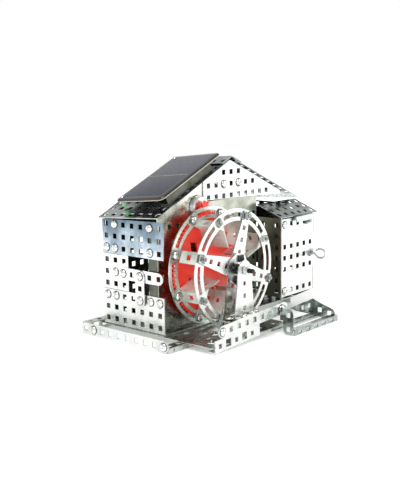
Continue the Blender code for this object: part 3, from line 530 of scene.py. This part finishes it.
def stack(levels):
    """bmesh of rounded rectangles at (inset, corner radius, height), joined from bottom to top."""
    bm = bmesh.new()
    loops = [rounded_ring(bm, *level) for level in levels]
    for lower, upper in zip(loops, loops[1:]):
        for i, vert in enumerate(lower):
            j = (i + 1) % len(lower)
            bm.faces.new((vert, lower[j], upper[j], upper[i]))
    bm.faces.new(list(reversed(loops[0])))
    bm.faces.new(loops[-1])
    return bm


dome = [(0.15, 5, 0.9), (0.0, 5, 1.2), (0.15, 5, 1.6), (0.7, 5, 2.05)]
dome += [(1.8, 5, 2.35), (3.4, 5, 2.5), (4.4, 5, 2.52)]
resin = finished(stack([(0.2, 5, 0.0), *dome]), "solar_panel_resin", RESIN, "house")
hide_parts("solar_panel_case")
board = stack([(0.1, 5, 0.35), (-0.02, 5, 0.4), (-0.02, 5, 0.8), (0.1, 5, 0.85)])
finished(board, "solar_panel_board_edge", CREAM, "house")


def cell_material():
    """Dark cells with fine collector fingers, paler towards the ridge, under clear resin."""
    made = Tree("solar_cell_glass")
    cloud = made.noise(30.0, 3.0)
    colour = made.ramp(cloud, [(0.3, (0.018, 0.02, 0.038)), (0.7, (0.032, 0.034, 0.06))])
    fade = made.span(made.along("X"), CORNER.x + 8 * MM, CORNER.x + 78 * MM)
    colour = made.mix(fade, colour, (0.1, 0.105, 0.125))
    fingers = made.node("ShaderNodeTexWave", wave_type="BANDS", bands_direction="Y")
    fingers.inputs["Scale"].default_value = 160.0
    made.link(made.place, fingers.inputs["Vector"])
    line = made.ramp(fingers.outputs["Fac"], [(0.86, (0, 0, 0)), (0.98, (1, 1, 1))])
    colour = made.mix(0.05, colour, line, "ADD")
    made.link(colour, made.shader.inputs["Base Color"])
    made.link(made.span(made.noise(300.0), 0.3, 0.7, 0.22, 0.34), made.shader.inputs["Roughness"])
    made.shader.inputs["Specular IOR Level"].default_value = 0.3
    made.bump(made.noise(160.0, 2.0), 0.08, 0.0003)
    return made.material


cells = [(5.0, 6, 2.4), (5.0, 6, 2.5), (5.25, 6, 2.6), (5.5, 6, 2.62)]
cell_piece = finished(stack(cells), "solar_panel_cells", cell_material(), "house")
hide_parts("solar_cell")


def ribbon(bm, points, wide, thick):
    """A flat soldered ribbon through points in the panel's own frame."""
    sections = []
    for u, v, height in points:
        corners = ((-wide, 0), (wide, 0), (wide * 0.7, thick), (-wide * 0.7, thick))
        spots = [PANEL @ (Vector((u + du, v, height + dh)) * MM) for du, dh in corners]
        sections.append([bm.verts.new(spot) for spot in spots])
    for lower, upper in zip(sections, sections[1:]):
        for i in range(4):
            j = (i + 1) % 4
            bm.faces.new((lower[i], lower[j], upper[j], upper[i]))
    bm.faces.new(list(reversed(sections[0])))
    bm.faces.new(sections[-1])


bm = bmesh.new()
wander = (0.0, 0.25, 0.1, 0.35, 0.5, 0.45, 0.6)
ribbon(bm, [(40 + shift, 5 + 7.7 * i, 2.6) for i, shift in enumerate(wander)], 0.55, 0.12)
BUSBAR = steel("busbar_solder", (0.9, 0.86, 0.7), (0.62, 0.55, 0.38), (0.25, 0.4), 400.0)
finished(bm, "solar_panel_busbar", BUSBAR, "house")


SPACER_PROFILE = ((2.3, 0), (2.6, 0.3), (2.4, 2.4), (2.6, 4.7), (2.3, 5.0))
SMALL_HEAD_PROFILE = ((1.9, 0), (2.0, 0.3), (1.6, 0.8), (0.8, 1.1), (0.2, 1.15))


def spacer_shape(bm):
    lathe(bm, millimetres(SPACER_PROFILE), 18)


SPACER = template(spacer_shape)
corners = [(u, 51.0) for u in (5.0, 75.0)]
under = [PANEL @ (Vector((u, v, -0.1)) * MM) for u, v in corners]
spacers = [(point, -outwards, 0) for point in under]
fasten("solar_panel_spacers", "house", SPACER, GREEN, spacers)
heights = [PANEL @ (Vector((u, v, 2.55)) * MM) for u, v in corners]
tops = [(point, outwards, 25 * i) for i, point in enumerate(heights)]


def small_head(bm):
    lathe(bm, millimetres(SMALL_HEAD_PROFILE), 16)


SMALL_SCREW = slotted(template(small_head), 0.5 * MM, 0.5 * MM, 1.15 * MM)
fasten("solar_panel_screws", "house", SMALL_SCREW, SCREW_STEEL, tops)

# Studio

FLOOR_REACH = 1.3
FLOOR_GLOW = 0.25
# Distances from the middle between which the floor fades to white, in metres
FADE = (0.16, 0.5)
PAPER = [(0.3, (0.95, 0.95, 0.95)), (0.7, (0.98, 0.98, 0.98))]
# Brightness of the studio by height: white walls and a dimmer ceiling
SKY = ((0.0, 1.0), (0.2, 0.95), (0.5, 0.55), (1.0, 0.4))


def studio():
    bm = bmesh.new()
    bmesh.ops.create_grid(bm, x_segments=8, y_segments=8, size=FLOOR_REACH)
    bmesh.ops.recalc_face_normals(bm, faces=bm.faces)
    mesh = bpy.data.meshes.new("studio_floor")
    bm.to_mesh(mesh)
    bm.free()
    mesh.shade_smooth()
    made = Tree("studio_paper")
    made.link(made.ramp(made.noise(3.0), PAPER), made.shader.inputs["Base Color"])
    made.shader.inputs["Roughness"].default_value = 0.6
    made.shader.inputs["Emission Color"].default_value = (1.0, 1.0, 1.0, 1.0)
    reach = made.node("ShaderNodeVectorMath", operation="LENGTH")
    made.link(made.place, reach.inputs[0])
    glow = made.span(reach.outputs["Value"], *FADE, FLOOR_GLOW, 1.0)
    made.link(glow, made.shader.inputs["Emission Strength"])
    mesh.materials.append(made.material)
    floor = bpy.data.objects.new("studio_floor", mesh)
    bpy.context.scene.collection.objects.link(floor)
    world = bpy.data.worlds.new("studio")
    world.use_nodes = True
    tree = world.node_tree
    sky = tree.nodes["Background"]
    split = tree.nodes.new("ShaderNodeSeparateXYZ")
    tree.links.new(tree.nodes.new("ShaderNodeTexCoord").outputs["Generated"], split.inputs["Vector"])
    dome_ramp = tree.nodes.new("ShaderNodeValToRGB")
    band = dome_ramp.color_ramp
    for position, _ in SKY[1:-1]:
        band.elements.new(position)
    for element, (position, value) in zip(band.elements, SKY):
        element.position = position
        element.color = (value, value, value, 1.0)
    tree.links.new(split.outputs["Z"], dome_ramp.inputs["Fac"])
    seen = tree.nodes.new("ShaderNodeMix")
    seen.data_type = "RGBA"
    tree.links.new(tree.nodes.new("ShaderNodeLightPath").outputs["Is Camera Ray"], seen.inputs["Factor"])
    colours = [socket for socket in seen.inputs if socket.type == "RGBA"]
    tree.links.new(dome_ramp.outputs["Color"], colours[0])
    colours[1].default_value = (1.0, 1.0, 1.0, 1.0)
    mixed = next(socket for socket in seen.outputs if socket.type == "RGBA")
    tree.links.new(mixed, sky.inputs["Color"])
    bpy.context.scene.world = world


def softbox(name, point, target, size, power):
    light = bpy.data.lights.new(name, "AREA")
    light.shape = "RECTANGLE"
    light.size, light.size_y = size
    light.energy = power
    lamp = bpy.data.objects.new(name, light)
    lamp.location = point
    lamp.rotation_euler = (Vector(target) - Vector(point)).to_track_quat("-Z", "Y").to_euler()
    bpy.context.scene.collection.objects.link(lamp)


CAMERA_AZIMUTH = -48.8
CAMERA_ELEVATION = 9.74
CAMERA_ROLL = -0.7
CAMERA_REACH = 800.17
CAMERA_TARGET = (120.32, 67.15, 42.26)
CAMERA_LENS = 61.54
SENSOR = 36.0


def camera():
    turn, rise = math.radians(CAMERA_AZIMUTH), math.radians(CAMERA_ELEVATION)
    back = Vector((math.sin(turn) * math.cos(rise), -math.cos(turn) * math.cos(rise), math.sin(rise)))
    right = Vector((math.cos(turn), math.sin(turn), 0))
    up = back.cross(right)
    made = bpy.data.cameras.new("camera")
    made.sensor_fit = "VERTICAL"
    made.sensor_height = SENSOR
    made.lens = CAMERA_LENS
    made.clip_start = 0.01
    eye = bpy.data.objects.new("camera", made)
    place = Matrix((right, up, back)).transposed().to_4x4()
    place = place @ Matrix.Rotation(math.radians(CAMERA_ROLL), 4, "Z")
    eye.matrix_world = Matrix.Translation(at(*CAMERA_TARGET) + back * CAMERA_REACH * MM) @ place
    bpy.context.scene.collection.objects.link(eye)
    bpy.context.scene.camera = eye


LIT_POINT = (0, 0, 0.05)
KEY_POINT, KEY_SIZE, KEY_POWER = (-0.5, -0.2, 1.1), (0.9, 0.9), 9.0
SIDE_POINT, SIDE_SIZE, SIDE_POWER = (0.9, -0.9, 0.7), (0.6, 0.9), 4.0

camera()
studio()
softbox("key", KEY_POINT, LIT_POINT, KEY_SIZE, KEY_POWER)
softbox("side", SIDE_POINT, LIT_POINT, SIDE_SIZE, SIDE_POWER)
bpy.context.scene.view_settings.view_transform = "Standard"
